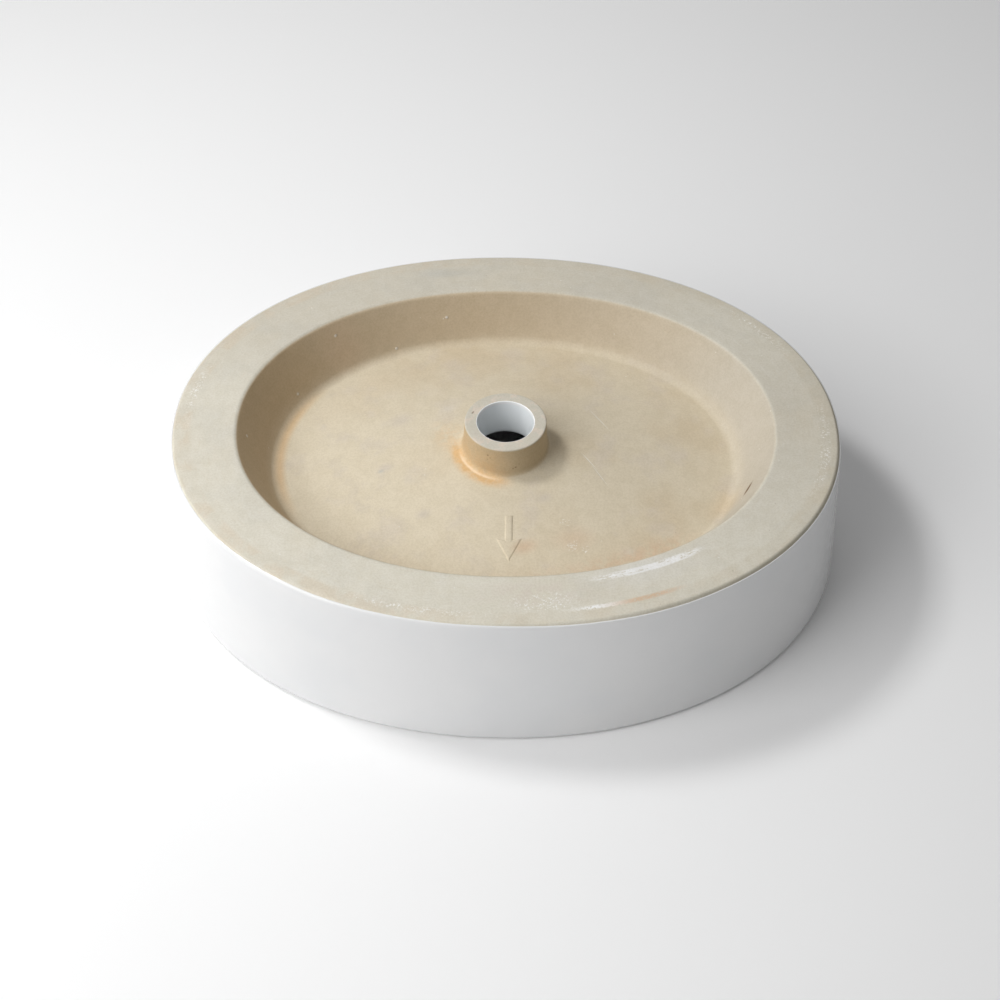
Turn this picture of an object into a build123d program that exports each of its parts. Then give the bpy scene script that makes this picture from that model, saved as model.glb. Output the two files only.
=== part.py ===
from build123d import *
from math import copysign, cos, pi, sin
import os

# Oval countertop washbasin, standing upside down on its rim, in millimetres.
# Z = 0 is the rim plane, +Z points out of the underside, X is the long axis
# and -Y is the front, where the raised arrow points.
#
# It is a double-walled casting in vitreous china. The outer shell has the bare
# underside: the foot ring, the recess floor and the drain boss. The glazed liner
# inside it has the rim with the bowl wall, and the bowl floor. Glaze covers the
# shell's outer wall and lines its drain bore.

# Driving dimensions
HEIGHT = 120.0
RIM_HALF = (269.0, 214.0)            # outer half width and depth at the rim
FOOT_HALF = (259.0, 202.0)           # the same at the foot plane, before rounding
OVAL_EXPONENT = 2.08                 # 2 is an ellipse, larger is squarer
SHOULDER_RADIUS = 4.0                # wall to foot plane, over the glaze
GLAZE_EDGE_INSET = 4.3               # from the wall to the glaze's edge on the foot plane
RIM_RADIUS = 5.0
COAT = 0.8                           # glaze thickness

# Recess in the underside
MOUTH_HALF = (208.6, 155.3)
FLOOR_HALF = (183.0, 139.0)
RECESS_EDGE_DEPTH = 44.0             # at the foot of the recess wall
RECESS_HUB_DEPTH = 28.0              # round the boss: the floor rises to the drain
RECESS_CENTRE_DEPTH = 24.2           # where that slope would reach CENTRE_RADIUS
CENTRE_RADIUS = 15.0                 # inside the bore
MOUTH_RADIUS = 4.5
COVE_RADIUS = 8.0                    # recess wall to recess floor

# Drain boss and bore
BORE_RADIUS = 22.25                  # over the glaze, for a 1 3/4 inch waste
BOSS_RADIUS = 31.75
BOSS_BASE_RADIUS = 33.6
BOSS_FOOT_RADIUS = 5.5               # fillet from boss to recess floor
BORE_LIP_RADIUS = 1.2
BORE_STRAIGHT = 30.4                 # straight wall, from the boss end
BORE_FLARE_RADIUS = 5.0              # bore to bowl floor

# Walls
WALL = 9.0
FOOT_PLATE = 10.0
FLOOR_SHEET = 5.0                    # shell floor, and liner floor under it
JOINT_HEIGHT = 16.0                  # rim plane to the joint of liner and shell

# Bowl liner
RIM_WIDTH = 14.0
LINER_WALL = 6.0
BOWL_FLOOR_HALF = (234.0, 178.0)
BOWL_FLOOR_DEPTH = 57.0
BOWL_CORNER_RADIUS = 34.0

# Raised arrow on the recess floor, pointing to the front
ARROW_X = 3.0
ARROW_START = 69.5                   # distance from the drain axis to the tail
ARROW_LENGTH = 38.5
ARROW_SHAFT_WIDTH = 4.8
ARROW_HEAD_WIDTH = 17.5
ARROW_HEAD_LENGTH = 18.0
ARROW_BARB = 1.6                     # how far the head's corners sweep back
ARROW_RELIEF = 0.9

# Where one node ends and the next begins
RECESS_SPLIT_HALF = (166.0, 122.0)   # foot ring to recess floor, inside the cove
HUB_RADIUS = 42.0                    # recess floor to drain boss, outside its fillet
BOWL_SPLIT_HALF = (192.0, 136.0)     # bowl wall to bowl floor, inside the corner

QUARTER_STEPS = 4                    # spline spans in a quarter of an outline
CLEAR = 1.0                          # overshoot of cutting solids
NEAR = 0.05                          # how close an edge lies to where it is looked for
NEAR_SHARE = 0.004                   # the same, as a share of an oval's size

RECESS_FLOOR_Z = HEIGHT - RECESS_EDGE_DEPTH
HUB_Z = HEIGHT - RECESS_HUB_DEPTH
CENTRE_Z = HEIGHT - RECESS_CENTRE_DEPTH
LINER_TOP_Z = CENTRE_Z - FLOOR_SHEET
BOWL_TOP_Z = LINER_TOP_Z - FLOOR_SHEET
LINER_CORNER_Z = BOWL_FLOOR_DEPTH + LINER_WALL
FLARE_START_Z = HEIGHT - BORE_STRAIGHT
BLOCK_LOW_Z = 3 * JOINT_HEIGHT       # clay behind the recess wall, cut off by the liner
BLOCK_TOP_Z = HEIGHT - FOOT_PLATE / 2


def grown(half, margin):
    """Half sizes of an oval that stands margin outside another one."""
    return (half[0] + margin, half[1] + margin)


def oval(half, z, exponent=OVAL_EXPONENT):
    """Closed wire of a superellipse with the given half sizes, at height z."""
    quarters = []
    for quarter in range(4):
        points = []
        for step in range(QUARTER_STEPS + 1):
            angle = pi / 2 * (quarter + step / QUARTER_STEPS)
            c, s = round(cos(angle), 12), round(sin(angle), 12)
            x = half[0] * copysign(abs(c) ** (2 / exponent), c)
            y = half[1] * copysign(abs(s) ** (2 / exponent), s)
            points.append(Vector(x, y, z))
        start = pi / 2 * quarter
        ahead = [Vector(-sin(turn), cos(turn), 0) for turn in (start, start + pi / 2)]
        quarters.append(Edge.make_spline(points, tangents=ahead))
    return Wire(quarters)


def ring(radius, z):
    """Round outline with the same start and direction as the ovals."""
    return oval((radius, radius), z, exponent=2)


def between(low_half, low_z, high_half, high_z, z):
    """Half sizes at height z of a straight taper through two ovals."""
    share = (z - low_z) / (high_z - low_z)
    return tuple(low + (high - low) * share for low, high in zip(low_half, high_half))


def layered(*outlines):
    """Solid with straight walls from each outline to the next."""
    return Solid.make_loft(list(outlines), ruled=True)


def oval_size(point, half):
    """How far out a point lies, as a share of the oval with these half sizes."""
    across = abs(point.X / half[0]) ** OVAL_EXPONENT
    along = abs(point.Y / half[1]) ** OVAL_EXPONENT
    return (across + along) ** (1 / OVAL_EXPONENT)


def outline_edges(solid, half, z):
    """The edges that follow the oval with these half sizes at height z."""
    found = []
    for edge in solid.edges():
        middle = edge.position_at(0.5)
        if abs(middle.Z - z) < NEAR and abs(oval_size(middle, half) - 1) < NEAR_SHARE:
            found.append(edge)
    return found


def column(outline):
    """Everything above and below an outline that is drawn at height 0."""
    return Pos(0, 0, -CLEAR) * Solid.extrude(Face(outline), Vector(0, 0, HEIGHT + 2 * CLEAR))


def above(z):
    """A block that holds everything above height z."""
    size = 4 * RIM_HALF[0]
    return Pos(0, 0, z) * Box(size, size, 2 * HEIGHT, align=(Align.CENTER, Align.CENTER, Align.MIN))


def outer_envelope():
    """The whole outside, over the glaze, with sharp corners."""
    return layered(oval(RIM_HALF, 0), oval(FOOT_HALF, HEIGHT))


def bare_envelope():
    """The shell's outside under its glaze, from the liner joint upwards."""
    joint_half = between(RIM_HALF, 0, FOOT_HALF, HEIGHT, JOINT_HEIGHT)
    step_half = between(RIM_HALF, 0, FOOT_HALF, HEIGHT, HEIGHT - COAT)
    wall = layered(oval(grown(joint_half, -COAT), JOINT_HEIGHT), oval(grown(step_half, -COAT), HEIGHT - COAT))
    foot_half = grown(FOOT_HALF, -GLAZE_EDGE_INSET)
    foot = layered(oval(foot_half, HEIGHT - FOOT_PLATE), oval(foot_half, HEIGHT))
    return wall + foot


def recess_space():
    """The hollow in the underside, down to a floor that rises to the drain."""
    mouth = between(FLOOR_HALF, RECESS_FLOOR_Z, MOUTH_HALF, HEIGHT, HEIGHT + CLEAR)
    return layered(
        oval(mouth, HEIGHT + CLEAR),
        oval(FLOOR_HALF, RECESS_FLOOR_Z),
        ring(HUB_RADIUS, HUB_Z),
    )


def liner_envelope():
    """The bowl liner's back: its wall, and the floor that the shell rests on."""
    return layered(
        oval(grown(RIM_HALF, -WALL), JOINT_HEIGHT),
        oval(grown(BOWL_FLOOR_HALF, LINER_WALL), LINER_CORNER_Z),
        ring(HUB_RADIUS, HUB_Z - FLOOR_SHEET),
        ring(CENTRE_RADIUS, LINER_TOP_Z),
    )


def bowl_space():
    """The inside of the bowl, open at the rim."""
    mouth = between(BOWL_FLOOR_HALF, BOWL_FLOOR_DEPTH, grown(RIM_HALF, -RIM_WIDTH), 0, -CLEAR)
    return layered(
        oval(mouth, -CLEAR),
        oval(BOWL_FLOOR_HALF, BOWL_FLOOR_DEPTH),
        ring(CENTRE_RADIUS, BOWL_TOP_Z),
    )


def bore_space(radius, lip_radius, end_z):
    """The drain hole: a straight bore, flared into the bowl and rounded at the boss end."""
    lip_centre = radius + lip_radius
    flare = BORE_FLARE_RADIUS - (radius - BORE_RADIUS)
    flare_end = FLARE_START_Z - flare
    with BuildSketch(Plane.XZ) as profile:
        with BuildLine():
            Line((0, flare_end - CLEAR), (radius + flare, flare_end - CLEAR))
            Line((radius + flare, flare_end - CLEAR), (radius + flare, flare_end))
            RadiusArc((radius + flare, flare_end), (radius, FLARE_START_Z), flare)
            Line((radius, FLARE_START_Z), (radius, end_z - lip_radius))
            RadiusArc((radius, end_z - lip_radius), (lip_centre, end_z), lip_radius)
            Line((lip_centre, end_z), (lip_centre, HEIGHT + CLEAR))
            Line((lip_centre, HEIGHT + CLEAR), (0, HEIGHT + CLEAR))
            Line((0, HEIGHT + CLEAR), (0, flare_end - CLEAR))
        make_face()
    return revolve(profile.sketch, Axis.Z)


def drain_boss(liner):
    """Round spigot with a little draft, a fillet at its foot and the floor round it."""
    slope = (CENTRE_Z - HUB_Z) / (HUB_RADIUS - CENTRE_RADIUS)
    foot_z = HUB_Z + slope * (HUB_RADIUS - BOSS_BASE_RADIUS)
    outside = HUB_RADIUS + CLEAR
    with BuildSketch(Plane.XZ) as profile:
        with BuildLine():
            Polyline(
                (CENTRE_RADIUS, BOWL_TOP_Z), (CENTRE_RADIUS, HEIGHT), (BOSS_RADIUS, HEIGHT),
                (BOSS_BASE_RADIUS, foot_z), (outside, HUB_Z - slope * CLEAR), (outside, BOWL_TOP_Z),
                close=True,
            )
        make_face()
        corner = min(profile.vertices(), key=lambda v: abs(v.X - BOSS_BASE_RADIUS))
        fillet(corner, BOSS_FOOT_RADIUS)
    spigot = (revolve(profile.sketch, Axis.Z) & column(ring(HUB_RADIUS, 0))) - liner
    return spigot - bore_space(BORE_RADIUS + COAT, BORE_LIP_RADIUS - COAT, HEIGHT - COAT)


def arrow_relief(recess):
    """Raised arrow that follows the slope of the recess floor."""
    tail = -ARROW_START
    tip = tail - ARROW_LENGTH
    neck = tip + ARROW_HEAD_LENGTH - ARROW_BARB
    shaft = ARROW_SHAFT_WIDTH / 2
    head = ARROW_HEAD_WIDTH / 2
    outline = Polyline(
        (-shaft, tail), (-shaft, neck), (-head, neck + ARROW_BARB), (0, tip),
        (head, neck + ARROW_BARB), (shaft, neck), (shaft, tail), close=True,
    )
    plug = Pos(ARROW_X, 0, JOINT_HEIGHT) * extrude(make_face(outline), HEIGHT)
    buried = plug & (Pos(0, 0, -FLOOR_SHEET / 2) * recess)
    return buried - Pos(0, 0, ARROW_RELIEF) * recess


def outer_shell(liner):
    """Bare casting in one, all but the boss: outer wall, foot ring, recess and arrow."""
    recess = recess_space()
    recess = recess - arrow_relief(recess)
    chamber = layered(
        oval(grown(RIM_HALF, -COAT - WALL), JOINT_HEIGHT - CLEAR),
        oval(grown(FOOT_HALF, -COAT - WALL), HEIGHT - FOOT_PLATE),
    )
    block_half = [
        grown(between(FLOOR_HALF, RECESS_FLOOR_Z, MOUTH_HALF, HEIGHT, z), WALL)
        for z in (BLOCK_LOW_Z, BLOCK_TOP_Z)
    ]
    block = layered(oval(block_half[0], BLOCK_LOW_Z), oval(block_half[1], BLOCK_TOP_Z))
    body = (bare_envelope() - chamber) + block
    body = body - recess - liner
    body = fillet(outline_edges(body, FLOOR_HALF, RECESS_FLOOR_Z), COVE_RADIUS)
    body = fillet(outline_edges(body, MOUTH_HALF, HEIGHT), MOUTH_RADIUS)
    step_half = between(RIM_HALF, 0, FOOT_HALF, HEIGHT, HEIGHT - COAT)
    body = fillet(outline_edges(body, grown(step_half, -COAT), HEIGHT - COAT), SHOULDER_RADIUS - COAT)
    return body - column(ring(HUB_RADIUS, 0))


def bowl_liner(envelope, liner):
    """Glazed casting in one: rim and bowl, with the bore's flare in its floor."""
    body = ((envelope - above(JOINT_HEIGHT)) + liner) - bowl_space()
    rim_edges = outline_edges(body, RIM_HALF, 0) + outline_edges(body, grown(RIM_HALF, -RIM_WIDTH), 0)
    body = fillet(rim_edges, RIM_RADIUS)
    body = fillet(outline_edges(body, BOWL_FLOOR_HALF, BOWL_FLOOR_DEPTH), BOWL_CORNER_RADIUS)
    back_half = grown(BOWL_FLOOR_HALF, LINER_WALL)
    body = fillet(outline_edges(body, back_half, LINER_CORNER_Z), BOWL_CORNER_RADIUS + LINER_WALL)
    return body - bore_space(BORE_RADIUS, BORE_LIP_RADIUS, HEIGHT)


def wall_glaze(envelope):
    """Glaze over the shell's outer wall, ending on the rounded shoulder."""
    coat = (envelope & above(JOINT_HEIGHT)) - bare_envelope()
    coat = fillet(outline_edges(coat, FOOT_HALF, HEIGHT), SHOULDER_RADIUS)
    step_half = between(RIM_HALF, 0, FOOT_HALF, HEIGHT, HEIGHT - COAT)
    return fillet(outline_edges(coat, grown(step_half, -COAT), HEIGHT - COAT), SHOULDER_RADIUS - COAT)


def bore_glaze(liner):
    """Glaze sleeve in the drain bore, rolled over the boss's inner edge."""
    sleeve = bore_space(BORE_RADIUS + COAT, BORE_LIP_RADIUS - COAT, HEIGHT - COAT)
    sleeve = sleeve - bore_space(BORE_RADIUS, BORE_LIP_RADIUS, HEIGHT)
    return ((sleeve - above(HEIGHT)) & above(FLARE_START_Z)) - liner


envelope = outer_envelope()
liner_back = liner_envelope()
shell = outer_shell(liner_back)
lining = bowl_liner(envelope, liner_back)
recess_core = column(oval(RECESS_SPLIT_HALF, 0))
bowl_core = column(oval(BOWL_SPLIT_HALF, 0))
nodes = {
    "foot_ring": shell - recess_core,
    "recess_floor": shell & recess_core,
    "drain_boss": drain_boss(liner_back),
    "bowl_wall": lining - bowl_core,
    "bowl_floor": lining & bowl_core,
    "wall_glaze": wall_glaze(envelope),
    "bore_glaze": bore_glaze(liner_back),
}

os.makedirs("parts", exist_ok=True)
for name, shape in nodes.items():
    export_step(shape, f"parts/{name}.step")
    print(name, len(shape.solids()), round(shape.volume), shape.is_valid)
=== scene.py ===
import math

import bmesh
import bpy
from mathutils import Matrix, Vector, noise


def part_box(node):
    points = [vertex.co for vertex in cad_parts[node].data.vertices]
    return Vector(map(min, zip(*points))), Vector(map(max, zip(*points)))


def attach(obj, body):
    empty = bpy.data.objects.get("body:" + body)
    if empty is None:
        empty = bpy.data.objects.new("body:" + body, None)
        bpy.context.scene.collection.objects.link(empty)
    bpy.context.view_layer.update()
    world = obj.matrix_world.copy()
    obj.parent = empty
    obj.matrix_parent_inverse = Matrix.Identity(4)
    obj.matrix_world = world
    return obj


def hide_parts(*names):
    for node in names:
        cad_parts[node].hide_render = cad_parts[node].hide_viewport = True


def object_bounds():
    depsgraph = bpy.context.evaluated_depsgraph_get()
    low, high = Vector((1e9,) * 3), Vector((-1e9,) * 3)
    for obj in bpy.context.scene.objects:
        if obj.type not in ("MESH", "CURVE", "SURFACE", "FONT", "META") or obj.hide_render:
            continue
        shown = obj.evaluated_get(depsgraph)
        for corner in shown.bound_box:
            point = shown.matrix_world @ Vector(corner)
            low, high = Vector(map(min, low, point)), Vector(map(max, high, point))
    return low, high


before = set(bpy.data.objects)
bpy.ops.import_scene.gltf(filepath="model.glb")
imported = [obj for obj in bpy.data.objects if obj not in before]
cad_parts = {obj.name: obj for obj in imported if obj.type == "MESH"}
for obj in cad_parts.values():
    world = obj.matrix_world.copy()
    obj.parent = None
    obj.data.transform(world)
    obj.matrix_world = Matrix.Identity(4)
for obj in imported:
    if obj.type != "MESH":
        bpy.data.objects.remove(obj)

cad_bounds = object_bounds()

# Lengths are in metres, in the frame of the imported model: +Z up out of the
# underside, X the long axis, -Y the front. Shapes are worked out in millimetres.
MM = 0.001

# ---------------------------------------------------------------- driving sizes
lo, hi = (Vector(corner) for corner in cad_bounds)
HEIGHT = (hi.z - lo.z) / MM
RIM = (269.0, 214.0)                 # outer half width and depth at the rim plane
FOOT = (259.0, 202.0)                # the same at the foot plane, before rounding
OVAL = 2.08                          # superellipse exponent of the ovals
ROUND = 2.0                          # the same for the boss and the bore
COAT = 0.8                           # glaze thickness
WALL = 9.0                           # thickness of the shell's walls
SHOULDER_RADIUS = 4.0                # outer wall to foot ring
MOUTH = (208.6, 155.3)               # the recess at the foot plane
MOUTH_RADIUS = 4.5                   # foot ring to recess wall
RECESS_FLOOR = (183.0, 139.0)        # the recess at the edge of its floor
COVE_RADIUS = 8.0                    # recess wall to recess floor
FLOOR_Z = HEIGHT - 44.0              # the recess floor at its edge
CENTRE_RADIUS = 15.0                 # where the floors' straight slopes end
CENTRE_Z = HEIGHT - 24.2             # the recess floor there
PLATE_Z = HEIGHT - 10.0              # hidden side of the foot ring
SHEET = 5.0                          # thickness of the shell's floor, and of the bowl's
BOSS_TOP, BOSS_BASE = 31.75, 33.4    # radii of the boss
BOSS_EDGE_RADIUS = 0.7               # boss's end to its side
BOSS_FOOT_RADIUS = 5.5               # boss's side to recess floor
LIP = 0.6                            # rounding of the glaze at the bore's end
BORE = 22.25                         # radius over the glaze
BORE_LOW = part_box("bore_glaze")[0].z / MM
JOINT_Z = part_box("wall_glaze")[0].z / MM
FLARE = 5.0                          # bore to bowl floor
BOWL_FLOOR = (234.0, 178.0)          # the bowl at its floor, before rounding
BOWL_FLOOR_Z = 57.0                  # the bowl's floor at its edge
BOWL_RADIUS = 34.0                   # bowl floor to bowl wall
LINER_WALL = 6.0                     # thickness of the bowl's wall
RIM_WIDTH = 14.0
RIM_RADIUS = 5.0

AROUND = 480                         # points round each oval
AROUND_BORE = 160                    # points round the bore's sleeve
SHARP_EDGE = math.radians(32)        # a sharper bend than this is a real corner
BEAD = 1.3                           # how far the glaze's rounded edge reaches


# ---------------------------------------------------------------- mesh building
def taper(low, low_z, high, high_z, z):
    """Half sizes at height z of a straight taper through two ovals."""
    share = (z - low_z) / (high_z - low_z)
    return tuple(a + (b - a) * share for a, b in zip(low, high))


def grown(half, margin):
    return (half[0] + margin, half[1] + margin)


def circle(radius):
    return (radius, radius)


def smooth(low, high, value):
    """0 below low, 1 above high, and an even curve between."""
    share = max(0.0, min(1.0, (value - low) / (high - low)))
    return share * share * (3 - 2 * share)


def slope_height(radius, edge, edge_z, centre_z):
    """Height at a radius on the straight slope from a floor's edge to its centre."""
    share = (radius - CENTRE_RADIUS) / (edge - CENTRE_RADIUS)
    return centre_z + (edge_z - centre_z) * share


def corner(half, z, radius=0.0, exponent=OVAL, steps=8, spacing=6.0):
    """A corner of a section: half sizes, heights on both axes, rounding, and how far
    apart the points are on the straight run that follows it."""
    heights = z if isinstance(z, tuple) else (z, z)
    return dict(half=half, z=heights, radius=radius, exponent=exponent, steps=steps, spacing=spacing)


def arc(before, at, after, radius, steps):
    """Points of the fillet that rounds the corner at, in the plane of a section."""
    if radius <= 0:
        return [at]
    back = (before - at).normalized()
    ahead = (after - at).normalized()
    half_angle = math.acos(max(-1.0, min(1.0, back.dot(ahead)))) / 2
    reach = radius / math.tan(half_angle)
    centre = at + (back + ahead).normalized() * radius / math.sin(half_angle)
    start = at + back * reach - centre
    end = at + ahead * reach - centre
    sweep = math.pi - 2 * half_angle
    points = []
    for step in range(steps + 1):
        share = step / steps
        from_start = math.sin((1 - share) * sweep) / math.sin(sweep)
        from_end = math.sin(share * sweep) / math.sin(sweep)
        points.append(centre + start * from_start + end * from_end)
    return points


def section(corners, closed=True):
    """Stations of a section. Each is (half x, z there, half y, z there, exponent)."""
    count = len(corners)
    rounded = []
    for index, this in enumerate(corners):
        before, after = corners[index - 1], corners[(index + 1) % count]
        sides = []
        for axis in (0, 1):
            points = [Vector((c["half"][axis], c["z"][axis])) for c in (before, this, after)]
            sides.append(arc(*points, this["radius"], this["steps"]))
        rounded.append(sides)
    stations = []
    for index, this in enumerate(corners):
        after = corners[(index + 1) % count]
        (x_points, y_points), (next_x, next_y) = rounded[index], rounded[(index + 1) % count]
        for x_point, y_point in zip(x_points, y_points):
            stations.append((x_point.x, x_point.y, y_point.x, y_point.y, this["exponent"]))
        if index == count - 1 and not closed:
            break
        pieces = max(1, math.ceil((next_x[0] - x_points[-1]).length / this["spacing"]))
        for step in range(1, pieces):
            share = step / pieces
            x_point = x_points[-1].lerp(next_x[0], share)
            y_point = y_points[-1].lerp(next_y[0], share)
            exponent = this["exponent"] + (after["exponent"] - this["exponent"]) * share
            stations.append((x_point.x, x_point.y, y_point.x, y_point.y, exponent))
    return stations


def station_point(station, angle):
    """The point of a station at an angle round the axis, in millimetres."""
    half_x, z_x, half_y, z_y, exponent = station
    c, s = math.cos(angle), math.sin(angle)
    x = half_x * math.copysign(abs(c) ** (2 / exponent), c)
    y = half_y * math.copysign(abs(s) ** (2 / exponent), s)
    return Vector((x, y, z_x * c * c + z_y * s * s))


def turned(name, profile, around=AROUND):
    """Closed solid that carries a section round the ovals. profile gives the stations at an angle."""
    mesh = bmesh.new()
    columns = []
    for step in range(around):
        angle = 2 * math.pi * step / around
        columns.append([mesh.verts.new(station_point(s, angle) * MM) for s in profile(angle)])
    for step, column in enumerate(columns):
        other = columns[(step + 1) % around]
        for index in range(len(column)):
            nxt = (index + 1) % len(column)
            mesh.faces.new((column[index], other[index], other[nxt], column[nxt]))
    bmesh.ops.recalc_face_normals(mesh, faces=mesh.faces)
    return finished(name, mesh)


def finished(name, mesh):
    """Object of a mesh, shaded smooth except across real corners."""
    data = bpy.data.meshes.new(name)
    mesh.to_mesh(data)
    mesh.free()
    data.shade_smooth()
    data.set_sharp_from_angle(angle=SHARP_EDGE)
    piece = bpy.data.objects.new(name, data)
    bpy.context.scene.collection.objects.link(piece)
    return piece


# ---------------------------------------------------------------- the shoulder
# The bare clay meets the foot plane flush and lies one coat under the glaze on
# the wall. Between the two it follows the rounded shoulder, and the glaze ends
# part of the way up it. Shares of the shoulder run from 0 at the wall to 1 at the
# foot plane.
SHOULDER_STEPS = 14
CLAY_RISES = 0.35                    # share where the clay starts to rise to the foot plane
EDGE_SHARE = 0.64                    # how far up the glaze reaches
EDGE_DROP = 0.40                     # how much lower it ends at the right-hand side
LOW_SIDE_BEARING = 0.45              # where that is, in radians from the right to the front
JOINT = taper(RIM, 0, FOOT, HEIGHT, JOINT_Z)


def shoulder(axis, share, depth):
    """Point at a share of the rounded shoulder, depth coats under the outside."""
    wall = Vector((RIM[axis] - FOOT[axis], -HEIGHT)).normalized()
    half_angle = math.acos(max(-1.0, min(1.0, wall.dot(Vector((-1, 0)))))) / 2
    bisector = (wall + Vector((-1, 0))).normalized()
    centre = Vector((FOOT[axis], HEIGHT)) + bisector * SHOULDER_RADIUS / math.sin(half_angle)
    turn = math.atan2(wall.x, -wall.y)
    normal_angle = turn + (math.pi / 2 - turn) * share
    normal = Vector((math.cos(normal_angle), math.sin(normal_angle)))
    return centre + normal * (SHOULDER_RADIUS - COAT * depth)


def clay_depth(share):
    """How many coats the clay lies under the outside."""
    return 1 - smooth(CLAY_RISES, 1.0, share)


def clay_station(share, lift=0.0):
    """Station on the clay's shoulder, with a share of the coat's thickness over it."""
    depth = clay_depth(share) * (1 - lift)
    x_point, y_point = (shoulder(axis, share, depth) for axis in (0, 1))
    return (x_point.x, x_point.y, y_point.x, y_point.y, OVAL)


def glaze_edge(angle):
    """How far up the shoulder the glaze reaches. It ran low at the right-hand side."""
    c, s = math.cos(angle), math.sin(angle)
    low_side = smooth(0.35, 0.85, math.cos(angle + LOW_SIDE_BEARING))
    slow_waver = noise.noise(Vector((c, s, 0.3)) * 5.0) * 0.05
    quick_waver = noise.noise(Vector((c, s, 2.1)) * 23.0) * 0.025
    return EDGE_SHARE - EDGE_DROP * low_side + (slow_waver + quick_waver)


# ---------------------------------------------------------------- the pieces
def casting_stations():
    """The shell's clay: foot ring, recess, drain boss, and the hidden inner walls."""
    boss_foot = tuple(slope_height(BOSS_BASE, half, FLOOR_Z, CENTRE_Z) for half in RECESS_FLOOR)
    under = grown(BOWL_FLOOR, LINER_WALL)
    under_z = BOWL_FLOOR_Z + LINER_WALL
    under_centre = CENTRE_Z - SHEET
    sleeve = BORE + COAT
    sleeve_end = tuple(slope_height(sleeve, half, under_z, under_centre) for half in under)
    toe = []                         # where the hidden recess wall meets the hidden floor
    for axis in (0, 1):
        lean = (MOUTH[axis] - RECESS_FLOOR[axis]) / (HEIGHT - FLOOR_Z)
        slope = (under_centre - under_z) / (under[axis] - CENTRE_RADIUS)
        out = MOUTH[axis] + WALL - lean * HEIGHT
        z = (under_centre + slope * (CENTRE_RADIUS - out)) / (1 + slope * lean)
        toe.append((out + lean * z, z))
    toe_half, toe_z = zip(*toe)
    plate = grown(taper(RECESS_FLOOR, FLOOR_Z, MOUTH, HEIGHT, PLATE_Z), WALL)
    ring_start = grown(FOOT, -9.0)   # first corner on the flat of the ring
    stations = [clay_station(step / SHOULDER_STEPS) for step in range(SHOULDER_STEPS + 1)]
    return stations + section([
        corner(ring_start, HEIGHT, spacing=2.5),
        corner(MOUTH, HEIGHT, MOUTH_RADIUS, steps=8, spacing=2.5),
        corner(RECESS_FLOOR, FLOOR_Z, COVE_RADIUS, steps=10, spacing=2.5),
        corner(circle(BOSS_BASE), boss_foot, BOSS_FOOT_RADIUS, ROUND, steps=7, spacing=2.0),
        corner(circle(BOSS_TOP), HEIGHT, BOSS_EDGE_RADIUS, ROUND, steps=3, spacing=1.6),
        corner(circle(BORE + LIP), HEIGHT, 0, ROUND),
        corner(circle(BORE + LIP), HEIGHT - COAT, 0, ROUND),
        corner(circle(sleeve), HEIGHT - COAT, LIP - COAT, ROUND, steps=3, spacing=8),
        corner(circle(sleeve), sleeve_end, 0, ROUND, spacing=30),
        corner(toe_half, toe_z, spacing=20),
        corner(plate, PLATE_Z, spacing=20),
        corner(grown(FOOT, -COAT - WALL), PLATE_Z, spacing=30),
        corner(grown(JOINT, -COAT - WALL), JOINT_Z),
        corner(grown(JOINT, -COAT), JOINT_Z),
    ], closed=False)


def bowl_stations():
    """The glazed liner: rim, bowl and the bore's flare."""
    back = grown(BOWL_FLOOR, LINER_WALL)
    back_z = BOWL_FLOOR_Z + LINER_WALL
    back_centre = CENTRE_Z - SHEET
    bowl_centre = back_centre - SHEET
    top = tuple(slope_height(BORE, half, back_z, back_centre) for half in back)
    flare = tuple(slope_height(BORE, half, BOWL_FLOOR_Z, bowl_centre) for half in BOWL_FLOOR)
    return section([
        corner(RIM, 0, RIM_RADIUS, steps=8, spacing=6),
        corner(JOINT, JOINT_Z),
        corner(grown(RIM, -WALL), JOINT_Z, spacing=20),
        corner(back, back_z, BOWL_RADIUS + LINER_WALL, steps=10, spacing=30),
        corner(circle(BORE), top, 0, ROUND),
        corner(circle(BORE), flare, FLARE, ROUND, steps=6, spacing=8),
        corner(BOWL_FLOOR, BOWL_FLOOR_Z, BOWL_RADIUS, steps=14, spacing=6),
        corner(grown(RIM, -RIM_WIDTH), 0, RIM_RADIUS, steps=8, spacing=4),
    ])


def wall_coat_stations(angle):
    """Glaze over the shell's outer wall. Its edge is a small bead on the shoulder."""
    edge = glaze_edge(angle)
    arc_length = SHOULDER_RADIUS * math.pi / 2
    joint = [Vector((JOINT[axis], JOINT_Z)) for axis in (0, 1)]
    wall_top = [shoulder(axis, 0, 0) for axis in (0, 1)]
    levels = 12
    outside = []
    for level in range(levels):
        x_point, y_point = (joint[axis].lerp(wall_top[axis], level / levels) for axis in (0, 1))
        outside.append((x_point.x, x_point.y, y_point.x, y_point.y, OVAL))
    inside = []
    closing = 1.6                    # packs the stations towards the bead
    for step in range(SHOULDER_STEPS + 1):
        share = edge * (1 - (1 - step / SHOULDER_STEPS) ** closing)
        run = min(1.0, (edge - share) * arc_length / BEAD)
        outside.append(clay_station(share, lift=math.sqrt(1 - (1 - run) ** 2)))
        inside.append(clay_station(share))
    bottom = grown(JOINT, -COAT)
    return outside + inside[-2::-1] + [(bottom[0], JOINT_Z, bottom[1], JOINT_Z, OVAL)]


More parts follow.
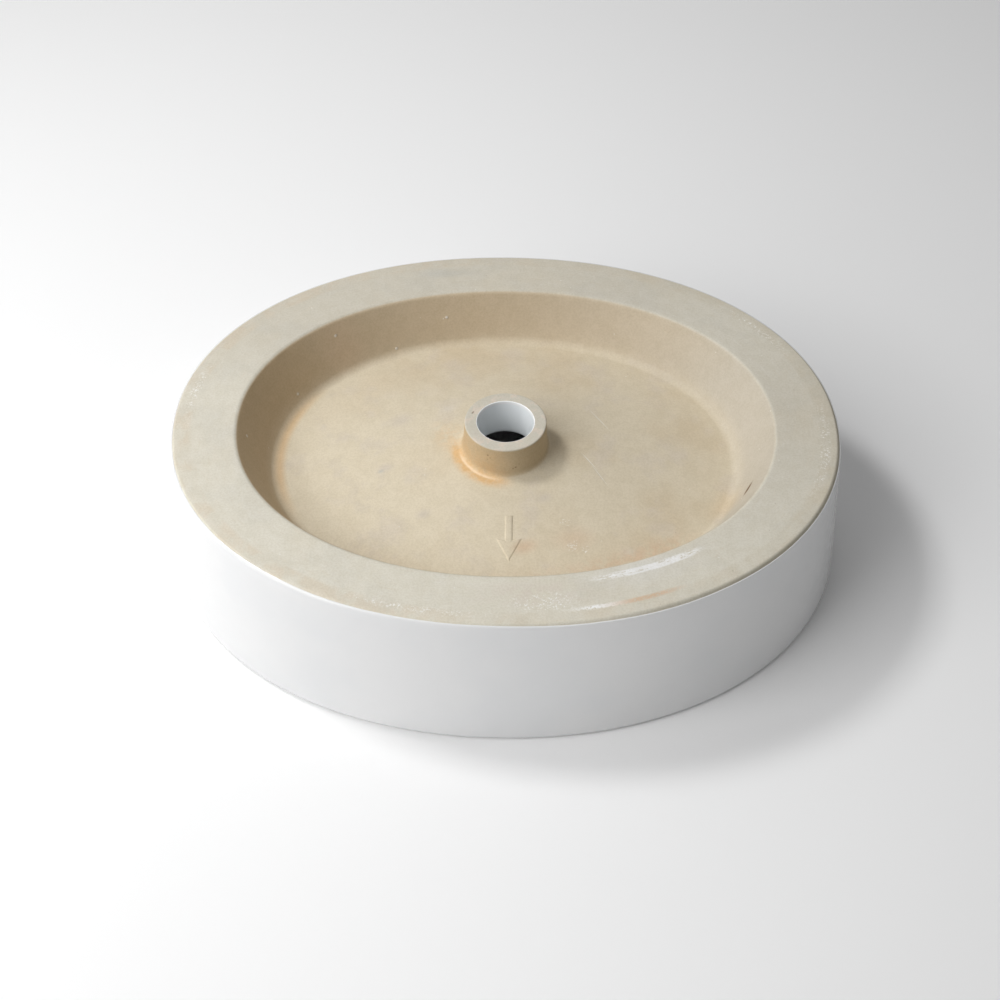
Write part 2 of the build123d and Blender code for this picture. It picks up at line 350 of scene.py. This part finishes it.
def bore_stations():
    """Glaze sleeve in the drain bore, rolled over the boss's inner edge."""
    sleeve = BORE + COAT
    rolled = 0.9 * LIP               # ends just short of the next corner
    return section([
        corner(circle(BORE), BORE_LOW, 0, ROUND, spacing=4),
        corner(circle(BORE), HEIGHT, rolled, ROUND, steps=7),
        corner(circle(BORE + LIP), HEIGHT, 0, ROUND),
        corner(circle(BORE + LIP), HEIGHT - COAT, 0, ROUND),
        corner(circle(sleeve), HEIGHT - COAT, LIP - COAT, ROUND, steps=3, spacing=8),
        corner(circle(sleeve), BORE_LOW, 0, ROUND),
    ])


def floor_at(x, y):
    """Height of the recess floor at a point between the boss and the cove."""
    low, high = 0.0, 1.0
    halvings = 30
    for _ in range(halvings):
        share = (low + high) / 2
        half = [BOSS_BASE + (edge - BOSS_BASE) * share for edge in RECESS_FLOOR]
        exponent = ROUND + (OVAL - ROUND) * share
        along_x = abs(x / half[0]) ** exponent
        along_y = abs(y / half[1]) ** exponent
        if along_x + along_y > 1:
            low = share
        else:
            high = share
    heights = [slope_height(half[axis], RECESS_FLOOR[axis], FLOOR_Z, CENTRE_Z) for axis in (0, 1)]
    return (heights[0] * along_x + heights[1] * along_y) / (along_x + along_y)


def arrow():
    """Raised arrow on the recess floor, its edges softened in the clay."""
    middle = 3.0                     # its centre line, along X
    start, length = 69.5, 38.5       # from the drain's axis towards the front
    shaft, head = 2.4, 8.75          # half widths
    head_length, barb = 18.0, 1.6
    relief, buried = 0.9, 0.5        # above and below the floor
    foot_spread, top_inset = 1.4, 0.6  # how far its sides lean out and in
    round_off = 0.9
    least_sine = 0.35                # keeps acute corners from running away
    tip = -start - length
    neck = tip + head_length
    outline = [
        (-shaft, -start), (-shaft, neck - barb), (-head, neck), (0, tip),
        (head, neck), (shaft, neck - barb), (shaft, -start),
    ]
    count = len(outline)
    mesh = bmesh.new()
    layers = []
    for inset, height in ((-foot_spread, -buried), (top_inset, relief)):
        layer = []
        for index, (x, y) in enumerate(outline):
            before = Vector(outline[index - 1]) - Vector((x, y))
            after = Vector(outline[(index + 1) % count]) - Vector((x, y))
            inward = (before.normalized() + after.normalized()).normalized()
            if before.cross(after) > 0:
                inward.negate()
            sine = max(least_sine, abs(inward.cross(after.normalized())))
            place = Vector((x, y)) + inward * inset / sine
            spot = Vector((place.x + middle, place.y, 0))
            spot.z = floor_at(spot.x, spot.y) + height
            layer.append(mesh.verts.new(spot * MM))
        layers.append(layer)
    mesh.faces.new(layers[0])
    top = mesh.faces.new(layers[1])
    for index in range(count):
        nxt = (index + 1) % count
        mesh.faces.new((layers[0][index], layers[0][nxt], layers[1][nxt], layers[1][index]))
    bmesh.ops.recalc_face_normals(mesh, faces=mesh.faces)
    bmesh.ops.bevel(
        mesh, geom=list(top.edges), offset=round_off * MM, segments=5, profile=0.5, affect="EDGES",
    )
    bmesh.ops.triangulate(mesh, faces=mesh.faces)
    return finished("arrow", mesh)


def joined(base, other):
    """Adds another object's mesh to the base object."""
    mesh = bmesh.new()
    mesh.from_mesh(base.data)
    mesh.from_mesh(other.data)
    mesh.to_mesh(base.data)
    mesh.free()
    bpy.data.objects.remove(other)
    return base


casting_profile = casting_stations()
bowl_profile = bowl_stations()
bore_profile = bore_stations()
casting = joined(turned("bare_casting", lambda angle: casting_profile), arrow())
bowl = turned("bowl", lambda angle: bowl_profile)
wall_coat = turned("wall_coat", wall_coat_stations)
bore_coat = turned("bore_coat", lambda angle: bore_profile, around=AROUND_BORE)


# ---------------------------------------------------------------- materials
class Graph:
    """A material's node tree, with short calls for the nodes that it uses. Masks run
    from 0 to 1, and lengths are in millimetres."""

    def __init__(self, name):
        self.material = bpy.data.materials.new(name)
        self.material.use_nodes = True
        self.tree = self.material.node_tree
        self.shader = self.tree.nodes["Principled BSDF"]
        place = self.node("ShaderNodeTexCoord").outputs["Object"]
        self.point = self.vector("SCALE", place, scale=1 / MM)
        self.x, self.y, self.z = self.node("ShaderNodeSeparateXYZ", Vector=self.point).outputs
        self.level = self.node("ShaderNodeCombineXYZ", X=self.x, Y=self.y).outputs[0]
        self.radius = self.vector("LENGTH", self.level)

    def node(self, kind, settings=None, **inputs):
        made = self.tree.nodes.new(kind)
        for key, value in (settings or {}).items():
            setattr(made, key, value)
        for key, value in inputs.items():
            self.feed(made.inputs[key], value)
        return made

    def feed(self, socket, value):
        """Gives a socket its value: another node's output, a colour or a number."""
        if isinstance(value, bpy.types.NodeSocket):
            self.tree.links.new(value, socket)
        elif socket.type == "RGBA":
            socket.default_value = (*value, 1)
        else:
            socket.default_value = value

    def math(self, operation, *values):
        made = self.node("ShaderNodeMath", {"operation": operation})
        for socket, value in zip(made.inputs, values):
            self.feed(socket, value)
        return made.outputs[0]

    def vector(self, operation, *values, scale=None):
        made = self.node("ShaderNodeVectorMath", {"operation": operation})
        for socket, value in zip(made.inputs, values):
            self.feed(socket, value)
        if scale is not None:
            made.inputs["Scale"].default_value = scale
        return made.outputs["Value"] if operation in ("LENGTH", "DISTANCE") else made.outputs[0]

    def product(self, *values):
        result = values[0]
        for value in values[1:]:
            result = self.math("MULTIPLY", result, value)
        return result

    def strongest(self, *masks):
        """The highest of several masks at each point."""
        result = masks[0]
        for mask in masks[1:]:
            result = self.math("MAXIMUM", result, mask)
        return result

    def ramp(self, value, low, high, out_low=0.0, out_high=1.0):
        """Even step from out_low at low to out_high at high; low may be above high."""
        made = self.node("ShaderNodeMapRange", {"interpolation_type": "SMOOTHSTEP"}, Value=value)
        if low > high:
            low, high, out_low, out_high = high, low, out_high, out_low
        limits = (("From Min", low), ("From Max", high), ("To Min", out_low), ("To Max", out_high))
        for key, number in limits:
            made.inputs[key].default_value = number
        return made.outputs[0]

    def band(self, value, middle, width):
        """1 at middle, falling to 0 at width on either side."""
        away = self.math("ABSOLUTE", self.math("SUBTRACT", value, middle))
        return self.ramp(away, width, 0.0)

    def noise(self, size, detail=3.0, roughness=0.55, where=None, offset=0.0):
        """Noise with features of about this size."""
        place = self.point if where is None else where
        if offset:
            place = self.vector("ADD", place, (offset, offset / 2, -offset))
        made = self.node("ShaderNodeTexNoise", Vector=place)
        made.inputs["Scale"].default_value = 1 / size
        made.inputs["Detail"].default_value = detail
        made.inputs["Roughness"].default_value = roughness
        return made.outputs[0]

    def grains(self, spacing, radius, share, offset=0.0):
        """Scattered round specks, in this share of the cells that lie spacing apart."""
        place = self.vector("ADD", self.point, (offset, -offset, offset / 3))
        made = self.node("ShaderNodeTexVoronoi", Vector=place)
        made.inputs["Scale"].default_value = 1 / spacing
        kept = self.node("ShaderNodeSeparateColor", Color=made.outputs["Color"])
        close = self.ramp(made.outputs["Distance"], radius / spacing, 0.4 * radius / spacing)
        chosen = self.math("LESS_THAN", kept.outputs[0], share)
        size = self.math("ADD", 0.4, kept.outputs[1])
        return self.product(close, chosen, self.math("MINIMUM", size, 1.0))

    def oval_share(self, half):
        """How far out a point lies, as a share of an oval."""
        across, along = (
            self.math("POWER", self.math("ABSOLUTE", self.math("DIVIDE", place, reach)), OVAL)
            for place, reach in ((self.x, half[0]), (self.y, half[1]))
        )
        return self.math("POWER", self.math("ADD", across, along), 1 / OVAL)

    def spot(self, centre, half, turn=0.0, softness=1.0):
        """Elliptical patch seen from above: 1 in the middle, 0 at its edge. turn is in
        degrees."""
        c, s = math.cos(math.radians(turn)), math.sin(math.radians(turn))
        dx = self.math("SUBTRACT", self.x, centre[0])
        dy = self.math("SUBTRACT", self.y, centre[1])
        along, across = (
            self.math("ADD", self.math("MULTIPLY", dx, x_share), self.math("MULTIPLY", dy, y_share))
            for x_share, y_share in ((c / half[0], s / half[0]), (-s / half[1], c / half[1]))
        )
        flat = self.node("ShaderNodeCombineXYZ", X=along, Y=across)
        return self.ramp(self.vector("LENGTH", flat.outputs[0]), 1.0, 1.0 - softness)

    def ball(self, centre, radius, softness=0.6):
        """Round patch about a point in space: 1 in the middle, 0 at its radius."""
        away = self.vector("DISTANCE", self.point, centre)
        return self.ramp(away, radius, radius * (1 - softness))

    def line(self, start, end, width):
        """Thin straight mark from start to end, seen from above."""
        middle = ((start[0] + end[0]) / 2, (start[1] + end[1]) / 2)
        run = (end[0] - start[0], end[1] - start[1])
        length = math.hypot(*run)
        turn = math.degrees(math.atan2(run[1], run[0]))
        return self.spot(middle, (length / 2, width), turn, 0.7)

    def blend(self, base, colour, amount, kind="MIX"):
        made = self.node("ShaderNodeMix", {"data_type": "RGBA", "blend_type": kind, "clamp_factor": True})
        self.feed(made.inputs[0], amount)
        self.feed(made.inputs[6], base)
        self.feed(made.inputs[7], colour)
        return made.outputs[2]

    def layers(self, base, *layers):
        """Colours laid over a base in turn. Each is (colour, mask, ...), and the product
        of its masks is how strongly it shows."""
        for colour, *masks in layers:
            base = self.blend(base, colour, self.product(*masks))
        return base

    def finish(self, colour, roughness, *reliefs):
        """Joins colour, roughness and relief to the shader. Each relief is (height from
        0 to 1, depth, strength), from broad to fine."""
        normal = None
        for height, depth, strength in reliefs:
            bump = self.node("ShaderNodeBump", Height=height)
            bump.inputs["Strength"].default_value = strength
            bump.inputs["Distance"].default_value = depth * MM
            if normal is not None:
                self.feed(bump.inputs["Normal"], normal)
            normal = bump.outputs[0]
        self.feed(self.shader.inputs["Base Color"], colour)
        self.feed(self.shader.inputs["Roughness"], roughness)
        self.feed(self.shader.inputs["Normal"], normal)
        return self.material


# Colours of the bare clay
SPONGED = (0.622, 0.584, 0.498)
# Painted light: a lighter tone laid on the better-lit parts of the foot ring
PAINTED_LIGHT_RING = (0.715, 0.682, 0.590)
RECESS_CLAY = (0.690, 0.612, 0.472)
# Painted light: a lighter tone laid on the better-lit part of the recess floor
PAINTED_LIGHT_FLOOR = (0.762, 0.680, 0.528)
WALL_CLAY = (0.570, 0.440, 0.280)
WALL_PALE = (0.570, 0.522, 0.440)
WALL_FAR = (0.620, 0.520, 0.385)
BOSS_CLAY = (0.552, 0.450, 0.302)
BOSS_PINK = (0.70, 0.61, 0.51)
TAN = (0.610, 0.500, 0.345)
OLIVE = (0.420, 0.390, 0.290)
BROWN = (0.200, 0.120, 0.070)
ORANGE = (0.740, 0.500, 0.260)
PEACH = (0.690, 0.520, 0.370)
# Painted highlight for the lit side of the boss's fillet
PAINTED_HIGHLIGHT = (0.93, 0.74, 0.52)
PINKISH = (0.640, 0.570, 0.490)
GREY = (0.520, 0.510, 0.470)
GREY_PINK = (0.72, 0.66, 0.58)
CHALK = (0.920, 0.915, 0.900)
CHALK_HAZE = (0.76, 0.76, 0.75)
MOTTLE_SHADE = (0.96, 0.955, 0.94)
FINE_SHADE = (0.93, 0.92, 0.90)

CLAY_SPECULAR = 0.3

# Colours of the glaze
GLAZE = (0.80, 0.80, 0.80)
GLAZE_COOL = (0.775, 0.78, 0.785)
# Painted light: the glaze made brighter inside the bore
GLAZE_PAINTED_LIGHT = (0.920, 0.950, 0.960)
# Painted highlight on the glaze at the bore's lip
GLAZE_PAINTED_HIGHLIGHT = (0.98, 0.98, 0.975)
PINHOLE = (0.45, 0.42, 0.38)
GLAZE_IOR = 1.52


class Clay(Graph):
    """The graph of the bare clay, with the noises, regions and marks that its parts share."""

    def __init__(self, name):
        super().__init__(name)
        # Noises, from broad to fine
        self.clouds = self.noise(70, 3, 0.6)
        self.patches = self.noise(34, 4, 0.6, offset=40)
        self.mottle = self.noise(11, 4, 0.65, offset=9)
        self.ragged = self.ramp(self.noise(7, 4, 0.7, offset=21), 0.35, 0.6)
        self.crumbs = self.ramp(self.noise(1.7, 4, 0.75, offset=5), 0.54, 0.62)
        self.fine = self.noise(1.6, 4, 0.7)
        self.grit = self.noise(0.45, 2, 0.6)

        # Regions
        self.outer = self.oval_share(grown(FOOT, -SHOULDER_RADIUS))
        self.mouth = self.oval_share(MOUTH)
        self.floor = self.oval_share(RECESS_FLOOR)
        self.on_top = self.strongest(
            self.ramp(self.z, HEIGHT - 1.5, HEIGHT - 0.15), self.ramp(self.outer, 0.93, 0.95),
        )
        self.in_recess = self.math("SUBTRACT", 1.0, self.on_top)
        self.on_floor = self.ramp(self.floor, 1.02, 0.93)
        self.on_walls = self.product(self.ramp(self.floor, 0.96, 1.05), self.in_recess)

        # Sponge streaks that follow the ring
        bearing = self.vector("MULTIPLY", self.vector("NORMALIZE", self.level), (16.0, 16.0, 0.0))
        outward = self.node("ShaderNodeCombineXYZ", Z=self.product(self.outer, 130.0)).outputs[0]
        self.streaks = self.noise(1.0, 3, 0.6, where=self.vector("ADD", bearing, outward))

        # Marks that show in both colour and relief
        self.specks = self.grains(9.0, 0.75, 0.16)
        self.pits = self.grains(16.0, 1.3, 0.12, offset=77)
        scratches = self.strongest(
            self.line((66, 50), (86, 20), 0.5),
            self.line((58, -2), (74, -24), 0.5),
            self.line((66, -14), (82, -40), 0.4),
        )
        self.scratches = self.product(scratches, self.on_floor)
        blister_places = ((-50, 144, 100), (-92, 124, 82), (-170, 65, 85), (-201, -6, 108), (-141, 111, 108))
        self.blisters = self.strongest(*(self.ball(place, 1.8) for place in blister_places))
        pitted = self.strongest(self.ball((-17, -27, 112), 8.0, 0.5), self.ball((7, -32, 104), 5.0, 0.5))
        self.boss_pits = self.product(self.grains(2.8, 1.1, 0.5, offset=12), pitted, self.in_recess)


def recess_clay(g):
    """Floor and walls of the recess, and the side of the boss, with painted light on the floor towards the
    left and the front.
    """
    wall = g.layers(
        WALL_CLAY,
        (WALL_PALE, g.ramp(g.x, -60, 130)),
        (WALL_FAR, g.ramp(g.y, 60, 140), 0.7),
    )
    # Painted light: the recess floor is made lighter towards the left and the front
    left_front = g.ramp(g.math("ADD", g.x, g.y), 60, -190)
    boss_side = g.product(g.ramp(g.radius, 35.6, 33.6), g.in_recess)
    return g.layers(
        RECESS_CLAY,
        (TAN, g.ramp(g.clouds, 0.42, 0.66), 0.45),
        (PAINTED_LIGHT_FLOOR, left_front, 0.9),
        (PINKISH, g.ramp(g.patches, 0.50, 0.68), 0.40),
        (wall, g.on_walls, 0.92),
        (TAN, g.on_walls, g.ramp(g.patches, 0.45, 0.65), g.spot((-60, 140), (150, 60)), 0.4),
        (PEACH, g.on_walls, g.spot((-134, 106), (30, 26)), 0.35),
        (BOSS_CLAY, boss_side, 0.92),
    )


def kiln_stains(g, clay):
    """Orange and peach stains in the recess, and a painted highlight along the boss's fillet."""
    crescent = g.spot((-27, -25), (46, 27), -45, 0.6)
    round_boss = g.product(g.band(g.radius, 38.0, 9.0), crescent, g.in_recess)
    near_boss = g.product(g.spot((-44, 10), (20, 32), 20), g.on_floor, g.ragged)
    # Painted highlight: a pale band on the left-front of the boss's fillet, which faces the light
    painted_fillet_highlight = g.product(g.band(g.radius, 36.6, 1.8), g.spot((-24, -28), (30, 16), -45, 0.6), g.in_recess)
    left_edge = g.product(g.band(g.floor, 0.976, 0.036), g.spot((-172, 14), (46, 92), 0, 0.7))
    near_edge = g.product(g.band(g.floor, 0.93, 0.13), g.spot((75, -102), (112, 26), 12), g.ragged)
    front_edge = g.product(g.band(g.floor, 0.93, 0.10), g.spot((-70, -98), (62, 22), -14))
    right_edge = g.product(g.band(g.floor, 1.0, 0.10), g.spot((170, -46), (26, 34), 60))
    clay = g.layers(
        clay,
        (ORANGE, round_boss, g.math("ADD", 0.75, g.product(g.ragged, 0.5))),
        (ORANGE, near_boss, 0.35),
        (PAINTED_HIGHLIGHT, painted_fillet_highlight, 0.8),
        (ORANGE, left_edge, 0.62),
        (PEACH, g.spot((15, -96), (15, 9), 20), g.on_floor, 0.75),
        (PEACH, g.spot((52, -88), (24, 15), 10), g.on_floor, 0.45),
        (PEACH, near_edge, 1.1),
        (ORANGE, front_edge, 0.22),
        (ORANGE, right_edge, 0.22),
    )
    for place, size in (((-94, -19), 11), ((-62, -66), 9), ((-84, 34), 16), ((30, -52), 10)):
        clay = g.layers(clay, (PINKISH, g.spot(place, (size, size * 0.7), 25), g.on_floor, 0.6))
    return clay


def recess_marks(g, clay):
    """Scratches and crumbs on the floor, and a hairline on the right-hand wall."""
    clay = g.layers(
        clay,
        (CHALK, g.scratches, 0.55),
        (BROWN, g.line((181.2, -56.2), (190.8, -41.5), 1.45), g.in_recess),
    )
    for place in ((46, -73.5), (50, -95.5), (62, -97), (54, -92)):
        clay = g.layers(clay, (CHALK, g.spot(place, (5, 4), 0, 0.4), g.crumbs, g.in_recess, 0.8))
    return clay


def ring_clay(g):
    """Foot ring and the boss's end, with painted light on the ring."""
    border = g.ramp(g.outer, 0.948, 0.966)
    warm = g.ramp(g.noise(18, 4, 0.6, offset=3), 0.42, 0.62)
    boss_end = g.product(g.ramp(g.radius, 40, 36), g.ramp(g.mottle, 0.5, 0.62))
    return g.layers(
        SPONGED,
        # Painted light: the ring is made lighter at the front, at the left and at the back-right
        (PAINTED_LIGHT_RING, g.ramp(g.y, 40, -170)),
        (PAINTED_LIGHT_RING, g.ramp(g.x, -120, -220), g.ramp(g.y, 110, 20), 0.8),
        (PAINTED_LIGHT_RING, g.spot((190, 110), (130, 110)), 0.5),
        (GREY, g.ramp(g.patches, 0.45, 0.66), 0.16),
        (RECESS_CLAY, g.ramp(g.clouds, 0.5, 0.7), 0.20),
        (GREY, g.spot((-52, 178), (34, 9), 4), 0.55),
        (TAN, border, g.math("ADD", 0.05, g.product(warm, 0.13))),
        (PEACH, border, warm, g.ramp(g.x, 40, -120), 0.12),
        (OLIVE, border, g.ramp(g.x, 60, 200), 0.09),
        (BOSS_PINK, boss_end, 0.8),
        (CHALK, g.ramp(g.streaks, 0.55, 0.85), 0.16),
        (TAN, g.ramp(g.streaks, 0.45, 0.2), 0.22),
    )


def ring_marks(g, ring):
    """Chalk, smears and scuffs on the foot ring, and a nick on the boss's end."""
    chalky = g.strongest(
        g.spot((244, -30), (52, 60)),
        g.spot((-60, -182), (110, 24), 8),
        g.spot((202, 106), (46, 30), -40),
        g.spot((-243, 30), (24, 40)),
    )
    chalk_line = g.product(g.band(g.outer, 0.970, 0.024), g.crumbs)
    smear = g.product(g.band(g.mouth, 1.056, 0.024), g.spot((104, -146), (52, 20), 20, 0.8))
    smear_grain = g.ramp(g.math("ADD", g.streaks, g.product(g.fine, 0.35)), 0.50, 0.70)
    scuff = g.product(g.band(g.outer, 0.955, 0.014), g.spot((86, -176), (50, 18), 15, 0.7))
    scuff_colour = g.blend(CHALK, PEACH, g.ramp(g.x, 62, 96))
    return g.layers(
        ring,
        (CHALK, chalk_line, g.math("POWER", chalky, 0.5)),
        (CHALK, smear, smear_grain, 3.0),
        (CHALK_HAZE, g.spot((100, -148), (58, 20), 18), 0.32),
        (scuff_colour, scuff, g.ramp(g.fine, 0.36, 0.52), 1.6),
        (CHALK, g.spot((28, -179), (34, 12), 4, 0.6), g.crumbs, 0.9),
        (PINKISH, g.spot((20, -172), (64, 18), 4), g.ramp(g.mottle, 0.4, 0.6), 0.6),
        (BROWN, g.line((-26.6, 7.6), (-24.4, 11.6), 1.0), 0.7),
    )


def bare_ceramic():
    """Unglazed fired clay: greyer and smoother where it was sponged and ground, yellower
    in the recess, with kiln stains, chalk, specks and scuffs, and painted light on the
    foot ring, on the recess floor and along the boss's fillet."""
    g = Clay("bare_ceramic")
    recess = recess_marks(g, kiln_stains(g, recess_clay(g)))
    ring = ring_marks(g, ring_clay(g))
    bare_line = g.product(
        g.ramp(g.z, HEIGHT - 0.15, HEIGHT - 1.6), g.ramp(g.outer, 0.99, 1.0), g.ramp(g.x, 60, 190),
    )
    colour = g.layers(
        recess,
        (ring, g.on_top),
        (OLIVE, bare_line, 0.45),
        (CHALK, g.specks, 0.55),
        (BROWN, g.grains(7.0, 0.55, 0.08, offset=31), 0.35),
        (RECESS_CLAY, g.pits, g.in_recess, 0.5),
        (CHALK, g.blisters, 0.55),
        (GREY, g.spot((-97, -22), (4.0, 2.8), 20), g.on_floor, 0.6),
        (GREY_PINK, g.spot((-46, 45), (11.0, 7.0), 20), g.on_floor, 0.6),
        (BROWN, g.boss_pits, 0.75),
    )
    colour = g.blend(colour, MOTTLE_SHADE, g.ramp(g.mottle, 0.62, 0.38), "MULTIPLY")
    colour = g.blend(colour, FINE_SHADE, g.ramp(g.fine, 0.60, 0.38), "MULTIPLY")
    g.shader.inputs["Specular IOR Level"].default_value = CLAY_SPECULAR

    # The boss's side carries fine level rings, which fade out on the floor round it
    level_rings = g.noise(1.0, 2, 0.5, where=g.vector("MULTIPLY", g.point, (0.08, 0.08, 1.4)))
    return g.finish(
        colour,
        g.ramp(g.mottle, 0.3, 0.7, 0.80, 0.95),
        (g.noise(45, 2, 0.5, offset=14), 1.1, 0.5),
        (g.mottle, 0.12, 0.7),
        (g.product(level_rings, g.ramp(g.radius, 44, 38), g.in_recess), 0.35, 0.8),
        (g.streaks, 0.05, 0.6),
        (g.fine, 0.10, 0.8),
        (g.grit, 0.035, 0.7),
        (g.specks, 0.18, 0.8),
        (g.strongest(g.pits, g.boss_pits), -0.30, 0.9),
        (g.scratches, -0.12, 0.8),
        (g.blisters, 0.5, 0.9),
    )


def white_glaze():
    """Gloss glaze: clean white, faintly uneven, with a few pinholes; brighter in the bore as painted light,
    with a painted highlight at the bore's lip.
    """
    g = Graph("white_glaze")
    clouds = g.noise(60, 2, 0.5)
    skin = g.noise(7, 3, 0.5, offset=8)
    in_bore = g.ramp(g.radius, 40, 30)
    pinholes = g.grains(38.0, 0.45, 0.10)
    g.shader.inputs["IOR"].default_value = GLAZE_IOR
    colour = g.layers(
        GLAZE,
        (GLAZE_COOL, g.ramp(clouds, 0.35, 0.7)),
        # Painted light in the bore, and a painted highlight near its lip
        (GLAZE_PAINTED_LIGHT, in_bore),
        (GLAZE_PAINTED_HIGHLIGHT, in_bore, g.ramp(g.z, HEIGHT - 4.0, HEIGHT - 1.6)),
        (PINHOLE, pinholes, 0.5),
    )
    return g.finish(
        colour,
        g.ramp(skin, 0.3, 0.7, 0.10, 0.20),
        (clouds, 0.6, 0.35),
        (skin, 0.05, 0.5),
        (g.noise(1.8, 2, 0.5, offset=2), 0.006, 0.5),
        (pinholes, -0.08, 0.6),
    )


bare = bare_ceramic()
glaze = white_glaze()
casting.data.materials.append(bare)
for piece in (bowl, wall_coat, bore_coat):
    piece.data.materials.append(glaze)

for piece in (casting, bowl, wall_coat, bore_coat):
    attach(piece, "root")
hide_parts("foot_ring", "recess_floor", "drain_boss")
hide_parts("bowl_wall", "bowl_floor")
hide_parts("wall_glaze")
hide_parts("bore_glaze")

# ---------------------------------------------------------------- stage
FLOOR_SIZE = 8.0
FLOOR_TONE = (0.93, 0.93, 0.93, 1)
FLOOR_ROUGHNESS = 0.95
bpy.ops.mesh.primitive_plane_add(size=FLOOR_SIZE, location=(0, 0, lo.z))
ground = bpy.context.object
ground.name = "floor"
paper = bpy.data.materials.new("pale_floor")
paper.use_nodes = True
paper_shader = paper.node_tree.nodes["Principled BSDF"]
paper_shader.inputs["Base Color"].default_value = FLOOR_TONE
paper_shader.inputs["Roughness"].default_value = FLOOR_ROUGHNESS
ground.data.materials.append(paper)

centre = (lo + hi) / 2
LIGHT_DISTANCE = 2.0                 # from the origin, in the middle of the rim plane
LIGHT_SIZE = 1.2
SMALL_LIGHT_SIZE = 0.36


def softbox(name, bearing, elevation, power, size=LIGHT_SIZE):
    """Square soft light that faces the object. bearing is in degrees from the left
    towards the front, elevation in degrees, power in watts."""
    across = math.cos(math.radians(elevation)) * LIGHT_DISTANCE
    place = Vector((
        -math.cos(math.radians(bearing)) * across,
        -math.sin(math.radians(bearing)) * across,
        math.sin(math.radians(elevation)) * LIGHT_DISTANCE,
    ))
    light = bpy.data.lights.new(name, "AREA")
    light.size = size
    light.energy = power
    lamp = bpy.data.objects.new(name, light)
    bpy.context.scene.collection.objects.link(lamp)
    lamp.location = place
    lamp.rotation_euler = (centre - place).to_track_quat("-Z", "Y").to_euler()


softbox("left_front", 35, 50, 14.4)
softbox("left_low", 35, 25, 9.8)
softbox("left", 0, 35, 2.4)
softbox("left_back", -22, 58, 13.4, size=SMALL_LIGHT_SIZE)
softbox("back", -90, 50, 2.4)
softbox("right", 180, 50, 1.0)

WORLD_STRENGTH = 0.19
world = bpy.data.worlds.new("studio")
bpy.context.scene.world = world
world.use_nodes = True
background = world.node_tree.nodes["Background"]
background.inputs["Color"].default_value = (1, 1, 1, 1)
background.inputs["Strength"].default_value = WORLD_STRENGTH
bpy.context.scene.view_settings.view_transform = "Standard"

# ---------------------------------------------------------------- camera
ELEVATION = math.radians(45.4)
DISTANCE = 1.30                      # from the aim point to the lens
ROLL = math.radians(0.45)
AIM = Vector((-0.0042, -0.016, hi.z))
FOCAL_LENGTH = 60.77                 # in millimetres
SENSOR_WIDTH = 36
SHIFT_UP = -0.064                    # as a share of the sensor's width
FARTHEST = 50                        # how far the camera sees, in metres

camera_data = bpy.data.cameras.new("camera")
camera_data.sensor_width = SENSOR_WIDTH
camera_data.lens = FOCAL_LENGTH
camera_data.shift_y = SHIFT_UP
camera_data.clip_end = FARTHEST
camera = bpy.data.objects.new("camera", camera_data)
bpy.context.scene.collection.objects.link(camera)
back = Vector((0, -math.cos(ELEVATION), math.sin(ELEVATION)))
camera.location = AIM + back * DISTANCE
facing = (-back).to_track_quat("-Z", "Y").to_matrix().to_4x4()
camera.rotation_euler = (facing @ Matrix.Rotation(ROLL, 4, "Z")).to_euler()
bpy.context.scene.camera = camera
